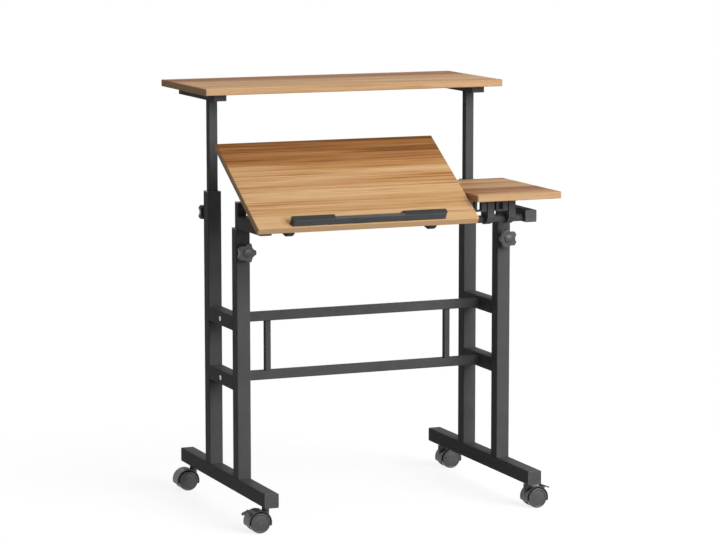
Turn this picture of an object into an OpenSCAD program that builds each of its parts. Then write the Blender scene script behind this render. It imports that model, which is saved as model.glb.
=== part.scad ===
// Mobile standing desk: a steel frame on four twin-wheel casters carries a rear shelf,
// a tilting desktop and a level side tray, each pair of inner tubes sliding in its posts.
// X runs to the right, Y to the back and Z up. The floor is Z = 0 and the origin is the
// middle of the footprint of the whole desk.

/* [Boards] */
// Width of the shelf, and of the desktop, the gap and the side tray together
shelf_w = 800; // [760:10:960]
// Depth of the shelf, the desktop and the side tray
board_d = 340; // [300:5:380]
// Thickness of the three boards
board_t = 17; // [12:1:25]
// Width of the side tray
tray_w = 226; // [210:2:260]
// Gap between the desktop and the side tray
board_gap = 3; // [2:0.5:8]
// Gap in plan between the shelf and the boards in front of it
shelf_gap = 2; // [1:0.5:20]
// Corner radius of the boards
board_r = 4; // [2.5:0.5:10]
// Radius of the boards' softened edges
edge_r = 2; // [1:0.5:2]
// Height of the underside of the shelf
shelf_z = 1033; // [960:1:1100]
// Distance of the shelf's front edge behind the middle of the frame
shelf_set = 1; // [0:1:20]

/* [Desktop] */
// Tilt of the desktop as shown
tilt = 31; // [0:1:60]
// Length of desktop in front of the pivot rod
front_over = 88; // [70:1:110]
// Distance of the desktop's front edge behind the side tray's, both level
desktop_set = 6; // [0:0.5:12]
// Distance of the left clamp's hook from the desktop's left edge
hook_left = 113; // [90:1:200]
// Distance of the right clamp's hook from the desktop's right edge
hook_right = 88; // [60:1:200]
// Length of the laptop stop
stop_len = 400; // [300:10:460]
// Width of the laptop stop along the board
stop_w = 19; // [15:1:26]
// Height of the laptop stop
stop_h = 18; // [10:1:30]
// Distance of the laptop stop from the front edge
stop_set = 3.5; // [2:0.5:30]
// Radius of the stop's ends in plan
stop_r = 7; // [2:0.5:7]
// Length of the pocket in the middle of the stop
pocket_len = 181; // [100:1:240]
// Depth of the pocket, from the laptop's side
pocket_d = 11; // [5:1:12]
// Height of the pocket
pocket_h = 8; // [4:1:9]
// Thickness of the two pads on the stop
pad_t = 1; // [0.5:0.1:2]

/* [Frame] */
// Distance of the middle of a post from the end of the shelf
post_inset = 51; // [40:1:60]
// Distance between the front and rear posts
post_dy = 204; // [180:2:260]
// Side of the square outer tube
outer_w = 35; // [32:1:40]
// Wall of the outer tube
outer_wall = 1.5; // [1.2:0.1:2]
// Corner radius of the outer tube
outer_r = 2.5; // [2.1:0.1:4]
// Height of the rear post tops
rear_top = 786; // [740:1:840]
// Height of the front post tops
front_top = 717; // [680:1:760]
// Length of a foot bar with its end caps
foot_len = 616; // [580:2:700]
// Height of the lower side bars and crossbar at their middle
bar_low_z = 334; // [260:1:380]
// Height of the upper side bars and crossbar at their middle
bar_high_z = 482; // [440:1:600]
// Depth of a crossbar
cross_d = 26; // [20:1:32]
// Height of a crossbar
cross_h = 22; // [18:1:32]
// Wall of the crossbars, struts, arms and inner tubes
thin_wall = 1.5; // [1.2:0.1:1.7]
// Side of the two struts between the crossbars
strut_w = 15; // [12:1:20]
// Distance between the two struts
strut_dx = 487; // [300:1:560]
// Thickness of the plate that closes a crossbar's end
end_plate = 5; // [3:0.5:8]

/* [Sliding tubes] */
// Side of the square inner tube
inner_w = 22.5; // [20:0.5:24]
// Corner radius of the inner tube
inner_r = 2; // [1.8:0.1:3]
// Length of the shelf's inner tubes
shelf_tube_len = 690; // [600:5:740]
// Length of the desktop's inner tubes
desk_tube_len = 468; // [380:2:520]
// Height of a bushing's flange
flange_h = 2; // [1.5:0.5:4]
// Length of a bushing's sleeve inside the post
sleeve_len = 36; // [20:1:36]
// Length of the glide at the foot of an inner tube
glide_len = 18; // [10:1:30]
// Length of the shelf bracket
bracket_len = 262; // [200:1:290]
// Width of the shelf bracket
bracket_w = 36; // [34:1:60]
// Height of the shelf bracket
bracket_h = 17.5; // [12:0.5:24]
// Plate thickness of the shelf bracket
bracket_t = 2.5; // [2:0.5:4]

/* [Arms and pivot] */
// Side of the square arm
arm_w = 30; // [28:1:34]
// Corner radius of the arm
arm_r = 2.2; // [2.1:0.1:4]
// Distance from the pivot axis to the arm's front end
arm_lip = 22; // [16:1:40]
// Height of the inner tube's stub above the arm
stub_h = 33.5; // [30:0.5:50]
// Diameter of the pivot rod
rod_d = 19; // [16:1:22]
// Height of the pivot axis above the arm's underside
rod_up = 10.7; // [9.5:0.1:15]
// Wall of the pivot rod
rod_wall = 2; // [1.5:0.5:4]

/* [Clamps] */
// Width of a clamp's hook along the rod
hook_w = 18; // [14:1:22]
// Wall of the hook round the rod
hook_wall = 3.2; // [2.5:0.1:5]
// Distance from the pivot axis to the hook's front face
hook_front = 28; // [20:1:32]
// Height of the front face's lower edge above the pivot axis
hook_low = 6; // [0:0.5:12]
// Distance of the hook's lower corner in front of the rod's axis
hook_chin = 21; // [18:0.5:26]
// Depth of that corner below the rod's axis
hook_sink = 5.5; // [0:0.5:9]
// Width of a clamp's flange under the board
flange_w = 52; // [50:1:56]
// Thickness of a clamp's flange
flange_t = 3; // [2:0.5:5]
// Distance from the pivot axis to the flange's rear edge
flange_back = 21; // [18:1:30]
// Width of the lug beside the hook
lug_w = 31; // [24:1:32]
// Height of the lug below the board
lug_h = 31; // [24:0.5:33]
// Depth of the lug
lug_d = 14; // [11:1:20]
// Width of the window in the lug
lug_slot_w = 12; // [8:0.5:14]
// Distance from the lug's outer side to its window
lug_slot_set = 5.5; // [4:0.5:8]
// Thickness of the lug's lower bar
lug_bar = 4; // [3:0.5:6]
// Distance of the inner tray clamp's hook from the tray's left edge
tray_hook_a = 64; // [52:1:80]
// Distance between the hooks of the two tray clamps
tray_hook_gap = 57; // [56:1:70]

/* [Knobs] */
// Distance across a knob's lobes
knob_d = 50; // [40:1:56]
// Number of lobes
knob_lobes = 5; // [4:1:7]
// Distance from the post to the knob's face
knob_reach = 31; // [29:1:40]
// Length of the knob's plain neck
knob_neck = 15; // [8:1:17]
// Diameter of the knob's neck
knob_neck_d = 21; // [16:1:24]
// Distance across the back of the lobes
knob_back_d = 45; // [42:1:48]
// Radius of a lobe
knob_lobe = 6.5; // [5:0.5:8]
// Radius of the hollows between lobes
knob_hollow = 14; // [10:0.5:18]
// Diameter of the hub on the knob's face
knob_hub_d = 22; // [14:1:28]
// Height of the hub above the lobes
knob_hub_h = 3.5; // [2:0.5:4]
// Distance of the knobs below the post tops
knob_drop = 55; // [52:1:80]
// Diameter of the threaded studs, bolts and caster stems
stud_d = 8; // [6:1:10]

/* [Casters] */
// Diameter of a wheel
wheel_d = 50; // [44:1:54]
// Width of one wheel
wheel_w = 16; // [12:1:20]
// Diameter of the cap on a wheel's outer face
hub_d = 41; // [30:1:43]
// Height from the floor to the foot bar
caster_h = 65; // [62:1:80]
// Distance from the swivel axis to the wheel axis
trail = 20; // [15:1:24]
// Distance of a caster's swivel axis from the end of the foot bar
caster_inset = 45; // [36:1:80]
// Thickness of the web between the wheels
web_t = 12; // [10.5:0.5:16]
// Thickness of the hood over the wheels
hood_t = 2.7; // [2:0.1:4]
// Distance of the hood's lower edge below the wheel axis
hood_drop = 8; // [4:1:12]
// Air between a wheel's tread and the hood
hood_air = 2.3; // [1.5:0.1:4]
// Length of the hood along the axle
hood_w = 38; // [30:1:44]
// Diameter of the axle
axle_d = 6; // [4:0.5:8]
// Diameter of the stem socket
socket_d = 18; // [15:1:22]
// Length of the brake lever
lever_len = 20; // [12:1:26]
// Width of the brake lever
lever_w = 17; // [12:1:24]
// Slope of the brake lever below level
lever_slope = 22; // [0:1:30]
// Depth of the dish in the brake lever
lever_dish = 0.8; // [0.4:0.1:1.5]
// Width of the rim round that dish
lever_rim = 2; // [1:0.5:3]

/* [Fits] */
// Air between pieces that slide or pass each other
slide_gap = 0.3; // [0.25:0.05:0.6]
// Air between a piece and the seat that holds it
seat_gap = 0.1; // [0.05:0.05:0.2]
// Radial running fit of a pin in its bore
bore_gap = 0.08; // [0.04:0.01:0.1]

/* [Hidden] */
$fn = 64;
eps = 0.01;

// Colours of the finished object
steel_color = [0.27, 0.27, 0.28];
plastic_color = [0.20, 0.20, 0.21];
zinc_color = [0.70, 0.71, 0.73];
wood_color = [0.80, 0.62, 0.42];

// Places along Y are measured from the middle of the frame, which frame_y puts in the shared frame
shelf_front = shelf_set;
pivot_set = shelf_front - shelf_gap - board_d + front_over;
desktop_over = front_over - desktop_set;
arm_top = front_top + flange_h + slide_gap + arm_w;
arm_z = arm_top - arm_w / 2;
stub_top = arm_top + stub_h;
pivot_z = arm_top - arm_w + rod_up;
board_rise = stub_top - pivot_z;
stop_round = 3;
front_reach = max(
    desktop_over * cos(tilt) + (board_rise + board_t) * sin(tilt) - pivot_set,
    (desktop_over - stop_set - stop_round) * cos(tilt) + stop_round
        + (board_rise + board_t + stop_h - stop_round) * sin(tilt) - pivot_set,
    front_over - pivot_set, foot_len / 2);
rear_reach = max(shelf_front + board_d, foot_len / 2);
frame_y = (front_reach - rear_reach) / 2;
pivot_y = frame_y + pivot_set;
post_dx = shelf_w - 2 * post_inset;
post_x = post_dx / 2;
caster_dy = foot_len - 2 * caster_inset;
front_y = frame_y - post_dy / 2;
rear_y = frame_y + post_dy / 2;
foot_top = caster_h + outer_w;
knob_z_front = front_top - knob_drop;
knob_z_rear = rear_top - knob_drop;

// Widths and middles of the front boards
desktop_w = shelf_w - tray_w - board_gap;
desktop_x = (desktop_w - shelf_w) / 2;
tray_x = (shelf_w - tray_w) / 2;

// Small parts
tuck = 0.05;
grip_r = 4;
grip_cut = 2.5;
cap_t = 2.5;
plug_len = 10;
nut_d = 13;
nut_h = 4.2;
bolt_head_d = 12;
bolt_head_h = 3;
collar_h = 5;
collar_d = 17;
stem_nut_h = 10;
screw_d = 4;
screw_head_d = 8;
screw_head_h = 2.2;
screw_depth = 11;
screw_edge = 7;
swivel_pin_d = 7;
hub_face = 1.5;
hub_rim = 2;
lever_t = 3;
barrel_d = 7;
lever_pin_d = 3;
lever_angle = 50;
ear_t = 2.4;
wheel_r = wheel_d / 2;
hood_r = wheel_r + hood_air + hood_t;
stem_low = wheel_r + 12;
wheel_gap = 0.4;

// Square and round bar sections

module round_rect(w, d, r) {
    square([w - 2 * r, d], center = true);
    square([w, d - 2 * r], center = true);
    for (sx = [-1, 1], sy = [-1, 1])
        translate([sx * (w / 2 - r), sy * (d / 2 - r)])
            circle(r);
}

module tube(w, d, wall, r, len) {
    linear_extrude(len)
        difference() {
            round_rect(w, d, r);
            round_rect(w - 2 * wall, d - 2 * wall, r - wall);
        }
}

module along_x() {
    rotate([0, 90, 0])
        rotate([0, 0, 90])
            children();
}

module along_y() {
    rotate([-90, 0, 0])
        children();
}

// Round cap with a spherical top and a low rim
module dome(r, h) {
    rise = h - tuck;
    ball = (r * r + rise * rise) / (2 * rise);
    intersection() {
        cylinder(h = h + 1, r = r);
        translate([0, 0, h - ball])
            sphere(r = ball);
    }
}

// Plug with a flat head that closes the end of a square tube, head outwards along +Z
module tube_plug(w, wall, r) {
    linear_extrude(cap_t)
        round_rect(w, w, r);
    translate([0, 0, -plug_len])
        linear_extrude(plug_len + eps)
            round_rect(w - 2 * wall - 2 * seat_gap, w - 2 * wall - 2 * seat_gap, r - wall);
}

// Button head with a socket and a plain shank, head outwards along +Z and its seat at 0
module bolt(d, head_d, head_h, len) {
    difference() {
        intersection() {
            cylinder(h = head_h, d = head_d);
            translate([0, 0, head_h - head_d])
                sphere(r = head_d);
        }
        translate([0, 0, head_h * 0.4])
            cylinder(h = head_h, d = d * 0.7, $fn = 6);
    }
    translate([0, 0, -len])
        cylinder(h = len + eps, d = d);
}

// Foot bars

module foot_bar(side) {
    stem_holes = [-caster_dy / 2, caster_dy / 2];
    bar_len = foot_len - 2 * cap_t;
    color(steel_color)
        translate([side * post_x, frame_y, 0])
            difference() {
                union() {
                    translate([0, -bar_len / 2, caster_h + outer_w / 2])
                        along_y()
                            tube(outer_w, outer_w, outer_wall, outer_r, bar_len);
                    for (y = stem_holes)
                        translate([0, y, caster_h + outer_wall / 2])
                            cylinder(h = stem_nut_h, d = nut_d + 3);
                }
                for (y = stem_holes)
                    translate([0, y, caster_h - 1])
                        cylinder(h = stem_nut_h + outer_wall + 2, d = stud_d + 2 * seat_gap);
            }
}

module foot_bar_left() foot_bar(-1);
module foot_bar_right() foot_bar(1);

module foot_end_caps() {
    color(plastic_color)
        for (side = [-1, 1], end = [-1, 1])
            translate([side * post_x, frame_y + end * (foot_len / 2 - cap_t), caster_h + outer_w / 2])
                rotate([-end * 90, 0, 0])
                    tube_plug(outer_w, outer_wall, outer_r);
}

// Posts, each with a nut for its clamping knob

module post(side, y, top, knob_z, knob_side) {
    nut_face = outer_w / 2 - outer_wall - nut_h;
    color(steel_color)
        translate([side * post_x, y, 0])
            difference() {
                union() {
                    translate([0, 0, foot_top])
                        tube(outer_w, outer_w, outer_wall, outer_r, top - foot_top);
                    translate([0, knob_side * nut_face, knob_z])
                        rotate([-knob_side * 90, 0, 0])
                            cylinder(h = nut_h + outer_wall / 2, d = nut_d);
                }
                translate([0, knob_side * (nut_face - 1), knob_z])
                    rotate([-knob_side * 90, 0, 0])
                        cylinder(h = outer_w / 2, d = stud_d + 2 * bore_gap);
            }
}

module post_front_left() post(-1, front_y, front_top, knob_z_front, -1);
module post_front_right() post(1, front_y, front_top, knob_z_front, -1);
module post_rear_left() post(-1, rear_y, rear_top, knob_z_rear, 1);
module post_rear_right() post(1, rear_y, rear_top, knob_z_rear, 1);

// Plastic sleeve in the mouth of a post, in which the inner tube slides
module bushing() {
    hole_w = inner_w + 2 * slide_gap;
    sleeve_w = outer_w - 2 * outer_wall - 2 * seat_gap;
    difference() {
        union() {
            linear_extrude(flange_h)
                round_rect(outer_w, outer_w, outer_r);
            translate([0, 0, -sleeve_len])
                linear_extrude(sleeve_len + eps)
                    round_rect(sleeve_w, sleeve_w, outer_r - outer_wall);
        }
        translate([0, 0, -sleeve_len - 1])
            linear_extrude(sleeve_len + flange_h + 2)
                round_rect(hole_w, hole_w, inner_r);
    }
}

module post_bushings() {
    color(plastic_color)
        for (side = [-1, 1], place = [[front_y, front_top], [rear_y, rear_top]])
            translate([side * post_x, place[0], place[1]])
                bushing();
}

// Side bars, welded between the front and rear posts

module side_bar(side, z) {
    bar_len = post_dy - outer_w;
    color(steel_color)
        translate([side * post_x, frame_y, z])
            difference() {
                translate([0, -bar_len / 2, 0])
                    along_y()
                        tube(outer_w, outer_w, outer_wall, outer_r, bar_len);
                translate([-outer_w, 0, 0])
                    along_x()
                        cylinder(h = 2 * outer_w, d = stud_d + 2 * seat_gap);
            }
}

module side_bar_low_left() side_bar(-1, bar_low_z);
module side_bar_high_left() side_bar(-1, bar_high_z);
module side_bar_low_right() side_bar(1, bar_low_z);
module side_bar_high_right() side_bar(1, bar_high_z);

// Crossbars, closed by end plates that take the frame bolts

module crossbar(z) {
    bar_len = post_dx - outer_w;
    color(steel_color)
        translate([-bar_len / 2, frame_y, z])
            difference() {
                union() {
                    along_x()
                        tube(cross_d, cross_h, thin_wall, outer_r, bar_len);
                    for (x = [0, bar_len - end_plate])
                        translate([x, 0, 0])
                            along_x()
                                linear_extrude(end_plate)
                                    round_rect(cross_d, cross_h, outer_r);
                }
                translate([-1, 0, 0])
                    along_x()
                        cylinder(h = bar_len + 2, d = stud_d + 2 * seat_gap);
            }
}

module crossbar_low() crossbar(bar_low_z);
module crossbar_high() crossbar(bar_high_z);

module crossbar_struts() {
    color(steel_color)
        for (side = [-1, 1])
            translate([side * strut_dx / 2, frame_y, bar_low_z + cross_h / 2])
                tube(strut_w, strut_w, thin_wall, inner_r, bar_high_z - bar_low_z - cross_h);
}

module frame_bolts() {
    reach = outer_w + end_plate + 8;
    color(zinc_color)
        for (side = [-1, 1], z = [bar_low_z, bar_high_z])
            translate([side * (post_x + outer_w / 2), frame_y, z])
                rotate([0, side * 90, 0])
                    bolt(stud_d, bolt_head_d, bolt_head_h, reach);
}

// Stems that hold the casters: a thread in the foot bar, a hexagon and a swivel pin

module caster_stems() {
    color(zinc_color)
        for (side = [-1, 1], end = [-1, 1])
            translate([side * post_x, frame_y + end * caster_dy / 2, 0]) {
                translate([0, 0, stem_low])
                    cylinder(h = caster_h - stem_low, d = swivel_pin_d);
                translate([0, 0, caster_h - collar_h])
                    cylinder(h = collar_h, d = collar_d, $fn = 6);
                translate([0, 0, caster_h - eps])
                    cylinder(h = outer_wall + stem_nut_h, d = stud_d);
            }
}

// Boards with softened edges, drilled from below for their screws

module board(w, holes) {
    difference() {
        intersection() {
            linear_extrude(board_t)
                round_rect(w, board_d, board_r);
            translate([-w / 2, 0, board_t / 2])
                along_x()
                    linear_extrude(w)
                        round_rect(board_d, board_t, edge_r);
            translate([0, -board_d / 2, board_t / 2])
                along_y()
                    linear_extrude(board_d)
                        round_rect(w, board_t, edge_r);
        }
        for (hole = holes)
            translate([hole[0], hole[1], -1])
                cylinder(h = screw_depth + 1.5, d = screw_d + 2 * seat_gap);
    }
}

// Pan head screw driven upwards, with the seat of its head at 0
module screw(len) {
    translate([0, 0, -screw_head_h])
        cylinder(h = screw_head_h, d1 = screw_head_d * 0.7, d2 = screw_head_d);
    translate([0, 0, -eps])
        cylinder(h = len, d = screw_d);
}

// Shelf with its brackets and sliding tubes

bracket_y = shelf_front + board_d / 2;
bracket_end = bracket_len / 2 - 14;
bracket_tube_y = rear_y - frame_y - bracket_y;
bracket_screws = [-bracket_end, (bracket_tube_y + bracket_end) / 2, bracket_end];

module shelf_board() {
    holes = [for (side = [-1, 1], y = bracket_screws) [side * post_x, y]];
    color(wood_color)
        translate([0, frame_y + bracket_y, shelf_z])
            board(shelf_w, holes);
}

module shelf_bracket(side) {
    color(steel_color)
        translate([side * post_x, frame_y + bracket_y, shelf_z - bracket_h])
            difference() {
                linear_extrude(bracket_h)
                    round_rect(bracket_w, bracket_len, board_r);
                translate([0, 0, -1])
                    linear_extrude(bracket_h - bracket_t + 1)
                        round_rect(bracket_w - 2 * bracket_t, bracket_len - 2 * bracket_t, 1);
                for (y = bracket_screws)
                    translate([0, y, 0])
                        cylinder(h = bracket_h + 1, d = screw_d + 2 * seat_gap);
            }
}

module shelf_bracket_left() shelf_bracket(-1);
module shelf_bracket_right() shelf_bracket(1);

module shelf_screws() {
    color(zinc_color)
        for (side = [-1, 1], y = bracket_screws)
            translate([side * post_x, frame_y + bracket_y + y, shelf_z - bracket_t])
                screw(bracket_t + screw_depth);
}

module inner_tube(side, y, top, len) {
    color(steel_color)
        translate([side * post_x, y, top - len])
            tube(inner_w, inner_w, thin_wall, inner_r, len);
}

module shelf_tube_left() inner_tube(-1, rear_y, shelf_z - bracket_t, shelf_tube_len);
module shelf_tube_right() inner_tube(1, rear_y, shelf_z - bracket_t, shelf_tube_len);

// Glide on the foot of an inner tube, its top face at 0
module glide() {
    glide_w = outer_w - 2 * outer_wall - 2 * slide_gap;
    spigot_w = inner_w - 2 * thin_wall - 2 * seat_gap;
    translate([0, 0, -glide_len])
        linear_extrude(glide_len)
            round_rect(glide_w, glide_w, outer_r - outer_wall);
    translate([0, 0, -eps])
        linear_extrude(plug_len)
            round_rect(spigot_w, spigot_w, inner_r - thin_wall);
}

module glides(y, z) {
    color(plastic_color)
        for (side = [-1, 1])
            translate([side * post_x, y, z])
                glide();
}

module shelf_glides() glides(rear_y, shelf_z - bracket_t - shelf_tube_len);

// Lifting frame of the desktop: inner tubes, arms, pivot rod and caps

desk_tube_top = stub_top - cap_t;

module desk_tube_left() inner_tube(-1, front_y, desk_tube_top, desk_tube_len);
module desk_tube_right() inner_tube(1, front_y, desk_tube_top, desk_tube_len);
module desk_glides() glides(front_y, desk_tube_top - desk_tube_len);

arm_front_y = pivot_y - arm_lip;
arm_back_y = front_y - inner_w / 2;

module arm(side) {
    arm_len = arm_back_y - arm_front_y - cap_t;
    color(steel_color)
        translate([side * post_x, arm_front_y + cap_t, arm_z])
            along_y()
                tube(arm_w, arm_w, thin_wall, arm_r, arm_len);
}

module arm_left() arm(-1);
module arm_right() arm(1);

module pivot_rod() {
    rod_len = post_dx - arm_w;
    color(steel_color)
        translate([-rod_len / 2, pivot_y, pivot_z])
            along_x()
                difference() {
                    cylinder(h = rod_len, d = rod_d);
                    translate([0, 0, -1])
                        cylinder(h = rod_len + 2, d = rod_d - 2 * rod_wall);
                }
}

// The left stub stops just under the flat desktop; the right one carries the tray
module tube_caps() {
    color(plastic_color) {
        for (side = [-1, 1])
            translate([side * post_x, arm_front_y + cap_t, arm_z])
                rotate([90, 0, 0])
                    tube_plug(arm_w, thin_wall, arm_r);
        translate([post_x, front_y, desk_tube_top])
            tube_plug(inner_w, thin_wall, inner_r);
        translate([-post_x, front_y, desk_tube_top])
            intersection() {
                tube_plug(inner_w, thin_wall, inner_r);
                translate([0, 0, -plug_len])
                    linear_extrude(plug_len + cap_t - slide_gap)
                        square(2 * inner_w, center = true);
            }
    }
}

// Clamp that carries a board on the pivot rod, in a frame whose X axis is the rod:
// a hook round the rod, a flange under the board and a lug with a window

hook_x = (flange_w - hook_w) / 2;
lug_x = (lug_w - flange_w) / 2;
clamp_screws = [
    [lug_x - lug_w / 2 + screw_edge, flange_back - screw_edge],
    [lug_x + lug_w / 2 - screw_edge, flange_back - screw_edge]
];

module clamp(rise) {
    hook_r = rod_d / 2 + hook_wall;
    side_r = hook_r - tuck;
    reach = norm([hook_chin, hook_sink]);
    aim = 180 + atan2(hook_sink, hook_chin) + acos(side_r / reach);
    tangent = [side_r * cos(aim), side_r * sin(aim)];
    difference() {
        union() {
            translate([hook_x - hook_w / 2, 0, 0])
                along_x()
                    linear_extrude(hook_w) {
                        circle(hook_r);
                        polygon([
                            [-hook_front, rise - eps], [-hook_front, hook_low],
                            [-hook_chin, -hook_sink], tangent,
                            [0, 0], [side_r, 0], [side_r, rise - eps]
                        ]);
                    }
            translate([-flange_w / 2, -hook_front, rise - flange_t])
                cube([flange_w, hook_front + flange_back, flange_t]);
            translate([lug_x - lug_w / 2, -hook_front, rise - lug_h])
                cube([lug_w, lug_d, lug_h]);
        }
        translate([-flange_w, 0, 0])
            along_x()
                cylinder(h = 2 * flange_w, r = rod_d / 2 + bore_gap);
        translate([lug_slot_set - flange_w / 2, -hook_front - 1, rise - lug_h + lug_bar])
            cube([lug_slot_w, lug_d + 2, lug_h - lug_bar - flange_t]);
        for (p = clamp_screws)
            translate([p[0], p[1], rise - flange_t - 1])
                cylinder(h = flange_t + 2, d = screw_d + 2 * seat_gap);
    }
}

// Screws of one clamp, up through its flange behind the lug
module clamp_screw_set(rise) {
    for (p = clamp_screws)
        translate([p[0], p[1], rise - flange_t])
            screw(flange_t + screw_depth);
}

// Holes in a board above clamps whose middles are listed, seen from the board's own middle
function clamp_holes(middles, over) = [
    for (x = middles, p = clamp_screws)
        [x + p[0], p[1] + over - board_d / 2]
];

module on_rod(angle) {
    translate([0, pivot_y, pivot_z])
        rotate([angle, 0, 0])
            children();
}

// Side tray, level on the rod and on the right stub

tray_left = tray_x - tray_w / 2;
tray_clamps = [
    tray_left + tray_hook_a - hook_x,
    tray_left + tray_hook_a + tray_hook_gap - hook_x
];

module tray_board() {
    middles = [for (x = tray_clamps) x - tray_x];
    color(wood_color)
        on_rod(0)
            translate([tray_x, board_d / 2 - front_over, board_rise])
                board(tray_w, clamp_holes(middles, front_over));
}

module tray_clamp(x) {
    color(steel_color)
        on_rod(0)
            translate([x, 0, 0])
                clamp(board_rise);
}

module tray_clamp_inner() tray_clamp(tray_clamps[0]);
module tray_clamp_outer() tray_clamp(tray_clamps[1]);

module tray_screws() {
    color(zinc_color)
        on_rod(0)
            for (x = tray_clamps)
                translate([x, 0, 0])
                    clamp_screw_set(board_rise);
}

// Tilting desktop

desktop_clamps = [
    desktop_x - desktop_w / 2 + hook_left - hook_x,
    desktop_x + desktop_w / 2 - hook_right - hook_x
];

module desktop_board() {
    middles = [for (x = desktop_clamps) x - desktop_x];
    color(wood_color)
        on_rod(tilt)
            translate([desktop_x, board_d / 2 - desktop_over, board_rise])
                board(desktop_w, clamp_holes(middles, desktop_over));
}

// Outline of the stop above the board, with its long edges rounded and its bottom flat
module stop_form(low, high) {
    intersection() {
        translate([0, 0, low])
            linear_extrude(high - low)
                round_rect(stop_len, stop_w, stop_r);
        translate([-stop_len / 2, 0, 0])
            along_x()
                linear_extrude(stop_len)
                    round_rect(stop_w, 2 * stop_h, stop_round);
    }
}

// Slot along X whose ends slope at 45 degrees, between two heights and open at the back
module stop_pocket(low, front) {
    reach = pocket_len / 2 - pocket_h;
    rise = stop_h + 1 - low;
    translate([0, 2 * stop_w + front, low])
        rotate([90, 0, 0])
            linear_extrude(2 * stop_w)
                polygon([[-reach, 0], [reach, 0], [reach + rise, rise], [-reach - rise, rise]]);
}

module on_stop() {
    on_rod(tilt)
        translate([desktop_x, stop_set + stop_w / 2 - desktop_over, board_rise + board_t])
            children();
}

module laptop_stop() {
    color(plastic_color)
        on_stop()
            difference() {
                stop_form(0, stop_h - pad_t);
                stop_pocket(stop_h - pocket_h, stop_w / 2 - pocket_d);
            }
}

// Two rubber pads on the stop, one at each side of the pocket
module stop_pads() {
    color(plastic_color)
        on_stop()
            difference() {
                stop_form(stop_h - pad_t, stop_h);
                stop_pocket(stop_h - pocket_h, -stop_w);
            }
}

module desktop_clamp(x) {
    color(steel_color)
        on_rod(tilt)
            translate([x, 0, 0])
                clamp(board_rise);
}

module desktop_clamp_left() desktop_clamp(desktop_clamps[0]);
module desktop_clamp_right() desktop_clamp(desktop_clamps[1]);

module desktop_screws() {
    color(zinc_color)
        on_rod(tilt)
            for (x = desktop_clamps)
                translate([x, 0, 0])
                    clamp_screw_set(board_rise);
}

// Star knobs that clamp the inner tubes, each with its stud

// Star of round lobes and hollows: a polygon through the middles of both, lobes added, hollows cut
module star(r) {
    lobe_at = r - knob_lobe;
    half = 180 / knob_lobes;
    span = knob_lobe + knob_hollow;
    hollow_at = lobe_at * cos(half) + sqrt(span * span - pow(lobe_at * sin(half), 2));
    difference() {
        union() {
            polygon([
                for (i = [0 : 2 * knob_lobes - 1])
                    (i % 2 == 0 ? hollow_at : lobe_at) * [-cos(i * half), -sin(i * half)]
            ]);
            for (i = [0 : knob_lobes - 1])
                rotate(half + i * 2 * half)
                    translate([-lobe_at, 0])
                        circle(knob_lobe);
        }
        for (i = [0 : knob_lobes - 1])
            rotate(i * 2 * half)
                translate([-hollow_at, 0])
                    circle(knob_hollow + tuck);
    }
}

// Half section of the knob's grip: a cone with a chamfered back edge and a rounded front edge
module grip_section(h) {
    edge = [knob_d / 2 - grip_r, h - grip_r];
    foot = [knob_back_d / 2, grip_cut];
    span = norm(edge - foot);
    aim = atan2(edge[1] - foot[1], edge[0] - foot[0]) - acos(-grip_r / span);
    out = [cos(aim), sin(aim)];
    polygon([
        [0, 0], [foot[0] - grip_cut, 0], foot, edge + (grip_r - tuck) * out,
        [edge[0], h - tuck], [0, h - tuck]
    ]);
    translate(edge)
        circle(grip_r);
}

module knob_body() {
    face_z = knob_reach - knob_hub_h;
    intersection() {
        translate([0, 0, knob_neck])
            rotate_extrude()
                grip_section(face_z - knob_neck);
        translate([0, 0, knob_neck - 1])
            linear_extrude(knob_reach)
                star(knob_d / 2 + 0.5);
    }
    translate([0, 0, face_z - 1]) {
        cylinder(h = knob_hub_h / 2 + 1, d = knob_hub_d);
        translate([0, 0, knob_hub_h / 2 + 1 - eps])
            dome(knob_hub_d / 2, knob_hub_h / 2);
    }
}

module knob(side, y, z, facing) {
    stud_len = (outer_w - inner_w) / 2 - slide_gap;
    color(plastic_color)
        translate([side * post_x, y + facing * outer_w / 2, z])
            rotate([-facing * 90, 0, 0]) {
                rotate([0, 0, 90 + side * 90])
                    knob_body();
                translate([0, 0, slide_gap])
                    cylinder(h = knob_neck, d = knob_neck_d);
                translate([0, 0, -stud_len])
                    cylinder(h = stud_len + 2, d = stud_d);
            }
}

module knob_front_left() knob(-1, front_y, knob_z_front, -1);
module knob_front_right() knob(1, front_y, knob_z_front, -1);
module knob_rear_left() knob(-1, rear_y, knob_z_rear, 1);
module knob_rear_right() knob(1, rear_y, knob_z_rear, 1);

// Casters, drawn with the swivel axis on Z and the wheels trailing towards +X

lever_x = trail + (hood_r + barrel_d / 2 + slide_gap) * cos(lever_angle);
lever_z = wheel_r + (hood_r + barrel_d / 2 + slide_gap) * sin(lever_angle);

module at_caster(side, end) {
    translate([side * post_x, frame_y + end * caster_dy / 2, 0])
        rotate([0, 0, 90 - side * 90])
            children();
}

// Disc or ring round the wheel axis, along Y and centred on the web
module wheel_disc(r, w) {
    translate([trail, -w / 2, wheel_r])
        along_y()
            cylinder(h = w, r = r);
}

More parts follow.
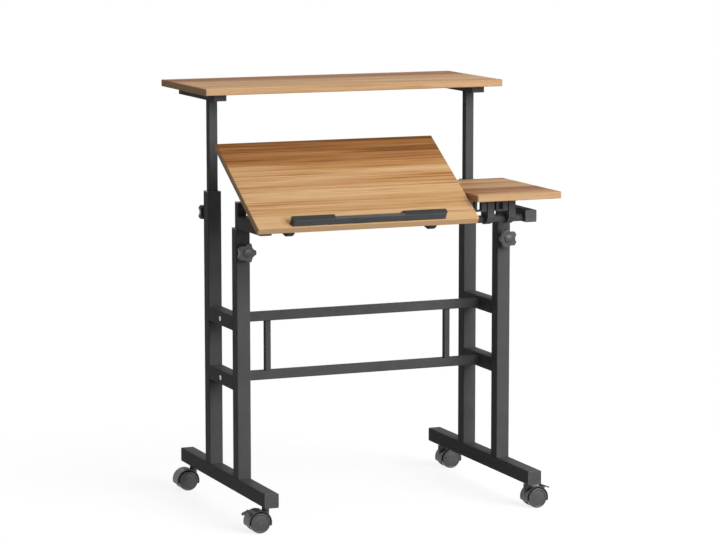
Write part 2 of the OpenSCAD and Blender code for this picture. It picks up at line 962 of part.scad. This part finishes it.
module caster_body(braked) {
    skirt_z = wheel_r - hood_drop;
    socket_top = caster_h - collar_h - slide_gap;
    socket_low = wheel_r + sqrt(pow(wheel_r + hood_air, 2) - pow(trail - socket_d / 2, 2));
    difference() {
        union() {
            difference() {
                wheel_disc(hood_r, hood_w);
                wheel_disc(hood_r - hood_t, hood_w + 2);
                translate([-wheel_d, -hood_w, -wheel_d])
                    cube([3 * wheel_d, 2 * hood_w, skirt_z + wheel_d]);
            }
            difference() {
                wheel_disc(hood_r - hood_t / 2, web_t);
                translate([-wheel_d, -hood_w, -wheel_d])
                    cube([3 * wheel_d, 2 * hood_w, skirt_z + wheel_d]);
            }
            translate([0, 0, socket_low])
                cylinder(h = socket_top - socket_low, d = socket_d);
            intersection() {
                translate([0, 0, stem_low - 5])
                    cylinder(h = socket_top - stem_low + 5, d = socket_d);
                translate([-socket_d, -web_t / 2, 0])
                    cube([2 * socket_d, web_t, socket_top]);
            }
            if (braked)
                for (s = [-1, 1])
                    translate([lever_x, s * (lever_w / 2 + slide_gap + ear_t / 2) - ear_t / 2, lever_z])
                        brake_ear();
        }
        translate([0, 0, stem_low - 2])
            cylinder(h = caster_h, d = swivel_pin_d + 2 * bore_gap);
        wheel_disc(axle_d / 2 + seat_gap, 2 * hood_w);
    }
}

// Ear that holds the lever's pin, on a foot that reaches down to the hood
module brake_ear() {
    foot = [-cos(lever_angle), -sin(lever_angle)] * (barrel_d / 2 + hood_t);
    side = [sin(lever_angle), -cos(lever_angle)] * (barrel_d / 2 - tuck);
    along_y()
        mirror([0, 1, 0])
            linear_extrude(ear_t) {
                circle(d = barrel_d);
                polygon([side, side + foot, foot - side, -side]);
            }
}

module caster(side, end, braked) {
    pin_len = 2 * (lever_w / 2 + slide_gap + ear_t);
    axle_len = web_t + 2 * wheel_gap + 2 * (wheel_w - 4);
    color(plastic_color)
        at_caster(side, end) {
            caster_body(braked);
            wheel_disc(axle_d / 2, axle_len);
            if (braked)
                translate([lever_x, -pin_len / 2, lever_z])
                    along_y()
                        cylinder(h = pin_len, d = lever_pin_d);
        }
}

module caster_front_left() caster(-1, -1, true);
module caster_front_right() caster(1, -1, true);
module caster_rear_left() caster(-1, 1, false);
module caster_rear_right() caster(1, 1, false);

// One wheel of a pair, turned round the axle: a rounded tread, a sunk ring and a domed cap
module wheel_solid() {
    hub_r = hub_d / 2;
    bore_len = wheel_w - 3;
    difference() {
        union() {
            rotate_extrude()
                translate([(hub_r - 1 + wheel_r) / 2, wheel_w / 2])
                    round_rect(wheel_r - hub_r + 1, wheel_w, (wheel_r - hub_r + 1) / 2 - tuck);
            cylinder(h = wheel_w - hub_face, r = hub_r);
            translate([0, 0, wheel_w - hub_face - eps])
                dome(hub_r - hub_rim, hub_face);
        }
        translate([0, 0, -1])
            cylinder(h = bore_len + 1, r = axle_d / 2 + bore_gap);
        translate([0, 0, -1])
            difference() {
                cylinder(h = wheel_w / 2, r = hub_r - 1);
                cylinder(h = wheel_w / 2, r = axle_d / 2 + 3);
            }
    }
}

module wheel(side, end, face) {
    color(plastic_color)
        at_caster(side, end)
            translate([trail, face * (web_t / 2 + wheel_gap), wheel_r])
                rotate([-face * 90, 0, 0])
                    wheel_solid();
}

module wheel_front_left_a() wheel(-1, -1, -1);
module wheel_front_left_b() wheel(-1, -1, 1);
module wheel_front_right_a() wheel(1, -1, -1);
module wheel_front_right_b() wheel(1, -1, 1);
module wheel_rear_left_a() wheel(-1, 1, -1);
module wheel_rear_left_b() wheel(-1, 1, 1);
module wheel_rear_right_a() wheel(1, 1, -1);
module wheel_rear_right_b() wheel(1, 1, 1);

// Brake lever: a barrel on its pin and a dished tab to step on
module brake(side) {
    tab_r = lever_w / 2;
    tab_x = lever_len - tab_r;
    color(plastic_color)
        at_caster(side, -1)
            translate([lever_x, 0, lever_z])
                rotate([0, lever_slope, 0])
                    difference() {
                        union() {
                            translate([0, -tab_r, 0])
                                along_y()
                                    cylinder(h = lever_w, d = barrel_d);
                            translate([0, 0, barrel_d / 2 - lever_t])
                                linear_extrude(lever_t) {
                                    translate([0, -tab_r])
                                        square([tab_x, lever_w]);
                                    translate([tab_x, 0])
                                        circle(tab_r);
                                }
                        }
                        translate([tab_x, 0, barrel_d / 2 - lever_dish])
                            cylinder(h = lever_dish + 1, r = tab_r - lever_rim);
                        translate([0, -lever_w, 0])
                            along_y()
                                cylinder(h = 2 * lever_w, d = lever_pin_d + 2 * bore_gap);
                    }
}

module brake_left() brake(-1);
module brake_right() brake(1);

foot_bar_left();
foot_bar_right();
foot_end_caps();
post_front_left();
post_front_right();
post_rear_left();
post_rear_right();
post_bushings();
side_bar_low_left();
side_bar_high_left();
side_bar_low_right();
side_bar_high_right();
crossbar_low();
crossbar_high();
crossbar_struts();
frame_bolts();
caster_stems();
shelf_board();
shelf_tube_left();
shelf_tube_right();
shelf_bracket_left();
shelf_bracket_right();
shelf_screws();
shelf_glides();
desk_tube_left();
desk_tube_right();
arm_left();
arm_right();
pivot_rod();
tube_caps();
desk_glides();
tray_board();
tray_clamp_inner();
tray_clamp_outer();
tray_screws();
desktop_board();
laptop_stop();
stop_pads();
desktop_clamp_left();
desktop_clamp_right();
desktop_screws();
knob_front_left();
knob_front_right();
knob_rear_left();
knob_rear_right();
caster_front_left();
caster_front_right();
caster_rear_left();
caster_rear_right();
wheel_front_left_a();
wheel_front_left_b();
wheel_front_right_a();
wheel_front_right_b();
wheel_rear_left_a();
wheel_rear_left_b();
wheel_rear_right_a();
wheel_rear_right_b();
brake_left();
brake_right();
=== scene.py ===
"""Mobile standing desk: looks, floor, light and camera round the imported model."""

import math

import bpy
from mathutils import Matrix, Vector

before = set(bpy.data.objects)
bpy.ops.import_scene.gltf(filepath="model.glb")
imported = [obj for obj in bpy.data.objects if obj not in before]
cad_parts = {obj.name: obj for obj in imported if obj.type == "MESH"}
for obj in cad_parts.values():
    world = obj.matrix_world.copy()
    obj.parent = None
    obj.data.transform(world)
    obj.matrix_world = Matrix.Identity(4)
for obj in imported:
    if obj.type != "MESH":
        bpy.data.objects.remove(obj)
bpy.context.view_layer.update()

# The tilt at which the desktop stands at rest
DESKTOP_TILT = math.radians(31)

# Wood: strips and groups of strips in a metre, then, in metres, how far the grain wanders, how
# far it may be shifted from strip to strip, and how far one step of a board's seed moves the
# whole pattern along X and Y
STRIPS = 19.0
GROUPS = 7.0
WANDER = 0.010
STRIP_SHIFT = 7.0
SEED_STEP = (0.37, 0.113)
# How much each pattern counts in the tone, the colours it runs through and the paler edges
STRIP_WEIGHT = 0.54
FIGURE_WEIGHT = 0.72
GROUP_WEIGHT = 0.40
LINE_WEIGHT = 0.90
EDGE_SHARE = 0.36
EDGE_COLOUR = (0.56, 0.350, 0.205)
WOOD_TONES = [
    (0.20, (0.105, 0.036, 0.010)),
    (0.44, (0.275, 0.113, 0.032)),
    (0.68, (0.440, 0.220, 0.082)),
    (0.98, (0.600, 0.378, 0.190)),
]

# Light: each lamp's place and size in metres and its power in watts
LAMP_AIM = (0.0, 0.0, 0.6)
KEY_LAMP = {"place": (2.1, -4.4, 2.5), "size": (4.0, 3.6), "power": 296.0}
TOP_LAMP = {"place": (0.3, -0.6, 3.8), "size": (2.4, 2.0), "power": 36.0}
REAR_LAMP = {"place": (1.0, 4.4, 1.6), "size": (2.4, 2.4), "power": 60.0}
AMBIENT = 0.12
WHITE = (1.0, 1.0, 1.0, 1.0)

# Camera, solved from the photograph: place in metres, lens in millimetres, angles in degrees
CAMERA_PLACE = (-2.82173, -6.84086, 1.62587)
CAMERA_LENS = 149.836
SENSOR_WIDTH = 36.0
CAMERA_DOWN = 8.009
CAMERA_ROLL = 0.037
CAMERA_TURN = -22.394
CAMERA_CLIP_END = 100.0


# Node helpers

class Tree:
    """One node tree, with short calls that add and join its nodes."""

    def __init__(self, node_tree):
        self.nodes = node_tree.nodes
        self.links = node_tree.links
        self.nodes.clear()

    def put(self, node, key, value):
        """Sets a socket, by index (i0) or by name, from a number or from another node's output."""
        by_index = key[0] == "i" and key[1:].isdigit()
        socket = node.inputs[int(key[1:])] if by_index else node.inputs[key]
        if isinstance(value, bpy.types.NodeSocket):
            self.links.new(value, socket)
        else:
            socket.default_value = value

    def add(self, kind, **sockets):
        node = self.nodes.new(kind)
        for key, value in sockets.items():
            self.put(node, key, value)
        return node

    def math(self, op, a, b=0.0):
        node = self.add("ShaderNodeMath", i0=a, i1=b)
        node.operation = op
        return node.outputs[0]

    def weighed(self, value, weight, middle=0.0):
        """The value's distance from the middle, times the weight."""
        if middle:
            value = self.math("SUBTRACT", value, middle)
        return self.math("MULTIPLY", value, weight)

    def pick(self, fac, a, b):
        """The value a where fac is 0 and b where it is 1."""
        return self.add("ShaderNodeMix", i0=fac, i2=a, i3=b).outputs[0]

    def split(self, vector):
        parts = self.add("ShaderNodeSeparateXYZ", Vector=vector).outputs
        return parts["X"], parts["Y"], parts["Z"]

    def join(self, x, y, z):
        return self.add("ShaderNodeCombineXYZ", X=x, Y=y, Z=z).outputs[0]

    def noise(self, vector, scale=1.0, detail=3.0, rough=0.5, distort=0.0):
        node = self.add("ShaderNodeTexNoise", Vector=vector, Scale=scale, Detail=detail,
                        Roughness=rough, Distortion=distort)
        return node.outputs["Fac"]

    def cells(self, value, scale):
        """The red, green and blue of cells of uneven width along a value, each cell its own."""
        node = self.nodes.new("ShaderNodeTexVoronoi")
        node.voronoi_dimensions = "1D"
        self.put(node, "W", value)
        self.put(node, "Scale", scale)
        parts = self.add("ShaderNodeSeparateColor", Color=node.outputs["Color"]).outputs
        return parts["Red"], parts["Green"], parts["Blue"]

    def ramp(self, fac, stops):
        """A colour for each value, from stops of a place and a colour."""
        node = self.add("ShaderNodeValToRGB", Fac=fac)
        elements = node.color_ramp.elements
        while len(elements) < len(stops):
            elements.new(0.5)
        for element, (place, colour) in zip(elements, stops):
            element.position = place
            element.color = (*colour, 1.0)
        return node.outputs["Color"]

    def mix(self, fac, a, b, blend="MIX"):
        """Two colours mixed. Either may be the output of a node."""
        node = self.nodes.new("ShaderNodeMix")
        node.data_type = "RGBA"
        node.blend_type = blend
        self.put(node, "i0", fac)
        for key, colour in (("i6", a), ("i7", b)):
            is_output = isinstance(colour, bpy.types.NodeSocket)
            self.put(node, key, colour if is_output else (*colour, 1.0))
        return node.outputs[2]

    def remap(self, value, lo, hi, a, b):
        """A value's range from lo to hi, turned into one from a to b."""
        node = self.add("ShaderNodeMapRange", Value=value)
        for key, number in zip(("From Min", "From Max", "To Min", "To Max"), (lo, hi, a, b)):
            node.inputs[key].default_value = number
        return node.outputs["Result"]

    def bump(self, height, strength, distance, under=None):
        node = self.add("ShaderNodeBump", Height=height, Strength=strength, Distance=distance)
        if under is not None:
            self.links.new(under, node.inputs["Normal"])
        return node.outputs["Normal"]


class Material(Tree):
    """A new material with one Principled shader."""

    def __init__(self, name):
        self.mat = bpy.data.materials.new(name)
        self.mat.use_nodes = True
        super().__init__(self.mat.node_tree)
        self.bsdf = self.add("ShaderNodeBsdfPrincipled")
        self.out = self.add("ShaderNodeOutputMaterial", Surface=self.bsdf.outputs["BSDF"])

    def placed(self, scale=(1, 1, 1), turn=0.0, move=(0, 0, 0)):
        """Object coordinates, scaled, turned about X and moved."""
        coord = self.add("ShaderNodeTexCoord").outputs["Object"]
        node = self.add("ShaderNodeMapping", Vector=coord, Scale=scale, Rotation=(turn, 0, 0),
                        Location=move)
        return node.outputs["Vector"]

    def facing(self, turn=0.0):
        """The face's direction in object coordinates, turned about X."""
        normal = self.add("ShaderNodeTexCoord").outputs["Normal"]
        node = self.add("ShaderNodeMapping", Vector=normal, Rotation=(turn, 0, 0))
        return node.outputs["Vector"]

    def finish(self, colour, rough, normal=None, **sockets):
        self.put(self.bsdf, "Base Color", colour)
        self.put(self.bsdf, "Roughness", rough)
        if normal is not None:
            self.put(self.bsdf, "Normal", normal)
        for key, value in sockets.items():
            self.put(self.bsdf, key.replace("_", " "), value)
        return self.mat


# Materials

def powder_coat():
    """Charcoal powder coat: a fine orange peel, a fine speckle and soft cloudy gloss."""
    t = Material("powder_coat_charcoal")
    where = t.placed()
    cloud = t.noise(where, scale=14.0, detail=3.0, rough=0.55)
    grain = t.noise(where, scale=1500.0, detail=2.0, rough=0.6)
    clouds = t.ramp(cloud, [(0.3, (0.080, 0.080, 0.081)), (0.7, (0.104, 0.104, 0.105))])
    speckle = t.ramp(grain, [(0.35, (0.062, 0.062, 0.063)), (0.65, (0.132, 0.132, 0.133))])
    peel = t.noise(where, scale=420.0)
    grit = t.bump(grain, strength=0.25, distance=0.00012)
    return t.finish(t.mix(0.35, clouds, speckle),
                    rough=t.remap(cloud, 0.3, 0.7, 0.46, 0.56),
                    normal=t.bump(peel, strength=0.30, distance=0.0004, under=grit),
                    Specular_IOR_Level=0.015)


def moulded(name, dark, light, rough, gloss, grain_scale=900.0, grain_strength=0.35):
    """Moulded plastic with an etched grain, flow marks and uneven gloss."""
    t = Material(name)
    flow = t.noise(t.placed(scale=(30, 30, 90)), distort=0.6)
    grain = t.add("ShaderNodeTexVoronoi", Vector=t.placed(), Scale=grain_scale)
    return t.finish(t.ramp(flow, [(0.3, dark), (0.75, light)]),
                    rough=t.remap(flow, 0.3, 0.75, *rough),
                    normal=t.bump(grain.outputs["Distance"], grain_strength, distance=0.0001),
                    Specular_IOR_Level=gloss)


def zinc():
    """Bright zinc plate with faint yellowing and fine scratches."""
    t = Material("zinc_plate")
    cloud = t.noise(t.placed(), scale=160.0, detail=4.0, rough=0.6)
    scratch = t.noise(t.placed(scale=(2600, 260, 260)), detail=2.0, rough=0.6)
    tone = t.ramp(cloud, [(0.3, (0.52, 0.53, 0.55)), (0.7, (0.70, 0.70, 0.68))])
    return t.finish(tone,
                    rough=t.remap(scratch, 0.3, 0.7, 0.24, 0.42),
                    normal=t.bump(scratch, strength=0.15, distance=0.00008),
                    Metallic=1.0)


def rubber():
    """Smooth dark elastomer with a dusty sheen."""
    t = Material("stop_elastomer")
    cloud = t.noise(t.placed(scale=(8, 60, 60)), rough=0.55)
    grain = t.noise(t.placed(), scale=1800.0, detail=2.0)
    tone = t.ramp(cloud, [(0.3, (0.020, 0.020, 0.021)), (0.7, (0.034, 0.034, 0.036))])
    return t.finish(tone,
                    rough=t.remap(cloud, 0.3, 0.7, 0.45, 0.55),
                    normal=t.bump(grain, strength=0.25, distance=0.0001),
                    Specular_IOR_Level=0.12)


def wood(name, seed, tilt=0.0):
    """Wood-grain laminate: strips of differing tone side by side across the board, streaks that
    run along X, and slightly paler edges. On the two end faces the grain runs along the edge. The
    tilt is taken out first, so that the board's depth lies along Y."""
    t = Material(name)
    move = [seed * step for step in SEED_STEP]
    x, y, z = t.split(t.placed(turn=-tilt, move=(*move, 0)))
    faces_x, _, faces_z = t.split(t.facing(turn=-tilt))
    end = t.math("GREATER_THAN", t.math("ABSOLUTE", faces_x), 0.75)
    edge = t.math("LESS_THAN", t.math("ABSOLUTE", faces_z), 0.5)
    along = t.pick(end, x, y)
    across = t.pick(end, y, x)

    # The grain wanders a little, so its streaks are never ruler-straight
    wander = t.add("ShaderNodeMapping", Vector=t.join(along, across, z), Scale=(2.2, 9, 9))
    drift = t.noise(wander.outputs[0], detail=2.0)
    depth = t.math("ADD", across, t.weighed(drift, WANDER, middle=0.5))

    # Strips of uneven width, in wider groups of a warmer or paler tone
    strip_tone, strip_place, _ = t.cells(across, STRIPS)
    _, _, group_tone = t.cells(across, GROUPS)

    # Streaks, stretched along the grain and shifted from strip to strip
    shifted = t.math("ADD", along, t.weighed(strip_place, STRIP_SHIFT))

    def streaks(along_scale, across_scale, detail, rough, distort=0.0):
        spot = t.join(t.weighed(shifted, along_scale), t.weighed(depth, across_scale),
                      t.weighed(z, across_scale))
        return t.noise(spot, detail=detail, rough=rough, distort=distort)

    figure = streaks(1.1, 20.0, detail=3.0, rough=0.55, distort=0.8)
    lines = streaks(2.0, 110.0, detail=3.0, rough=0.62, distort=0.35)
    pores = streaks(16.0, 1400.0, detail=2.0, rough=0.6)

    tone = t.math("ADD", t.weighed(strip_tone, STRIP_WEIGHT), t.weighed(figure, FIGURE_WEIGHT))
    tone = t.math("ADD", tone, t.weighed(group_tone, GROUP_WEIGHT, middle=0.5))
    tone = t.math("ADD", tone, t.weighed(lines, LINE_WEIGHT, middle=0.5))
    pore_shade = t.ramp(pores, [(0.36, (0.70, 0.64, 0.58)), (0.50, (1.0, 1.0, 1.0))])
    line_shade = t.ramp(lines, [(0.30, (0.60, 0.51, 0.42)), (0.43, (1.0, 1.0, 1.0))])
    colour = t.mix(0.55, t.ramp(tone, WOOD_TONES), pore_shade, "MULTIPLY")
    colour = t.mix(0.65, colour, line_shade, "MULTIPLY")
    ridges = t.bump(lines, strength=0.08, distance=0.0002)
    return t.finish(t.mix(t.weighed(edge, EDGE_SHARE), colour, EDGE_COLOUR),
                    rough=t.remap(lines, 0.3, 0.7, 0.58, 0.48),
                    normal=t.bump(pores, strength=0.12, distance=0.00012, under=ridges),
                    Specular_IOR_Level=0.08)


coat = powder_coat()
black = moulded(
    "black_moulded_plastic", dark=(0.048, 0.048, 0.049), light=(0.072, 0.072, 0.073),
    rough=(0.30, 0.40), gloss=0.4)
stop_bar = moulded(
    "stop_bar_plastic", dark=(0.060, 0.060, 0.061), light=(0.080, 0.080, 0.081),
    rough=(0.36, 0.48), gloss=0.15)
wheel_nylon = moulded(
    "wheel_nylon", dark=(0.058, 0.059, 0.061), light=(0.080, 0.081, 0.084),
    rough=(0.22, 0.32), gloss=0.45, grain_scale=1300.0, grain_strength=0.12)
zinc_plate = zinc()
elastomer = rubber()
boards = {
    "shelf_board": wood("laminate_shelf", seed=3.1),
    "tray_board": wood("laminate_tray", seed=7.7),
    "desktop_board": wood("laminate_desktop", seed=2.2, tilt=DESKTOP_TILT),
}


def finish_for(node):
    if node in boards:
        return boards[node]
    if node in ("frame_bolts", "caster_stems") or node.endswith("_screws"):
        return zinc_plate
    if node.startswith("wheel_"):
        return wheel_nylon
    if node == "stop_pads":
        return elastomer
    if node == "laptop_stop":
        return stop_bar
    if node.startswith(("knob_", "brake_", "caster_")):
        return black
    if node.endswith(("_glides", "_caps", "_bushings")):
        return black
    return coat


for node_name, node_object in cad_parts.items():
    node_object.data.materials.clear()
    node_object.data.materials.append(finish_for(node_name))


# Floor, light and camera

def soft_light(name, place, size, power):
    """A lamp with a rectangular face, aimed at the middle of the desk."""
    data = bpy.data.lights.new(name, "AREA")
    data.shape = "RECTANGLE"
    data.size, data.size_y = size
    data.energy = power
    lamp = bpy.data.objects.new(name, data)
    bpy.context.scene.collection.objects.link(lamp)
    lamp.location = place
    lamp.rotation_mode = "QUATERNION"
    lamp.rotation_quaternion = (Vector(LAMP_AIM) - Vector(place)).to_track_quat("-Z", "Y")
    return lamp


def seen_directly(t):
    """1 for rays from the camera and for those that a glossy or clear surface sends on."""
    path = t.add("ShaderNodeLightPath").outputs
    total = t.math("MAXIMUM", path["Is Camera Ray"], path["Is Glossy Ray"])
    return t.math("MAXIMUM", total, path["Is Transmission Ray"])


def make_world():
    """White where it is seen, and a plain ambient light for everything else."""
    world = bpy.data.worlds.new("studio")
    bpy.context.scene.world = world
    world.use_nodes = True
    t = Tree(world.node_tree)
    dim = t.add("ShaderNodeBackground", Color=WHITE, Strength=AMBIENT)
    plain = t.add("ShaderNodeBackground", Color=WHITE, Strength=1.0)
    whole = t.add("ShaderNodeMixShader", Fac=seen_directly(t), i1=dim.outputs[0],
                  i2=plain.outputs[0])
    t.add("ShaderNodeOutputWorld", Surface=whole.outputs[0])


def make_floor(half, near, far, bounce, veil, lift):
    """White floor, twice half a side, in metres. Up to near from its middle it keeps the object's
    shadow, which the veil and the lift lighten, and by far it has turned plain white. What it
    throws back on the object is only its bounce."""
    mesh = bpy.data.meshes.new("floor")
    mesh.from_pydata([(-half, -half, 0), (half, -half, 0), (half, half, 0), (-half, half, 0)], [],
                     [(0, 1, 2, 3)])
    floor = bpy.data.objects.new("floor", mesh)
    bpy.context.scene.collection.objects.link(floor)
    t = Material("studio_floor")
    speck = t.noise(t.placed(), scale=3.0, detail=2.0)
    t.finish(t.ramp(speck, [(0.3, (0.88, 0.88, 0.88)), (0.7, (0.90, 0.90, 0.90))]), rough=0.8)
    dull = t.add("ShaderNodeBsdfDiffuse", Color=(bounce, bounce, bounce, 1.0))
    plain = t.add("ShaderNodeEmission", Strength=1.0)
    glow = t.add("ShaderNodeEmission", Strength=lift)
    veiled = t.add("ShaderNodeMixShader", Fac=veil, i1=t.bsdf.outputs[0], i2=plain.outputs[0])
    raised = t.add("ShaderNodeAddShader", i0=veiled.outputs[0], i1=glow.outputs[0])
    reach = t.add("ShaderNodeVectorMath", i0=t.placed())
    reach.operation = "LENGTH"
    away = t.remap(reach.outputs["Value"], near, far, 0.0, 1.0)
    seen = t.add("ShaderNodeMixShader", Fac=away, i1=raised.outputs[0], i2=plain.outputs[0])
    whole = t.add("ShaderNodeMixShader", Fac=seen_directly(t), i1=dull.outputs[0],
                  i2=seen.outputs[0])
    t.put(t.out, "Surface", whole.outputs[0])
    mesh.materials.append(t.mat)


def make_camera():
    data = bpy.data.cameras.new("camera")
    data.sensor_width = SENSOR_WIDTH
    data.lens = CAMERA_LENS
    data.clip_end = CAMERA_CLIP_END
    camera = bpy.data.objects.new("camera", data)
    bpy.context.scene.collection.objects.link(camera)
    camera.location = CAMERA_PLACE
    camera.rotation_euler = (math.radians(90.0 - CAMERA_DOWN), math.radians(CAMERA_ROLL),
                             math.radians(CAMERA_TURN))
    bpy.context.scene.camera = camera


soft_light("key", **KEY_LAMP)
soft_light("top", **TOP_LAMP)
# Kept out of reflections, so that it leaves no glare on the boards
soft_light("rear", **REAR_LAMP).visible_glossy = False
make_world()
make_floor(half=8.0, near=0.7, far=1.3, bounce=0.35, veil=0.72, lift=0.12)
make_camera()
bpy.context.scene.view_settings.view_transform = "Standard"
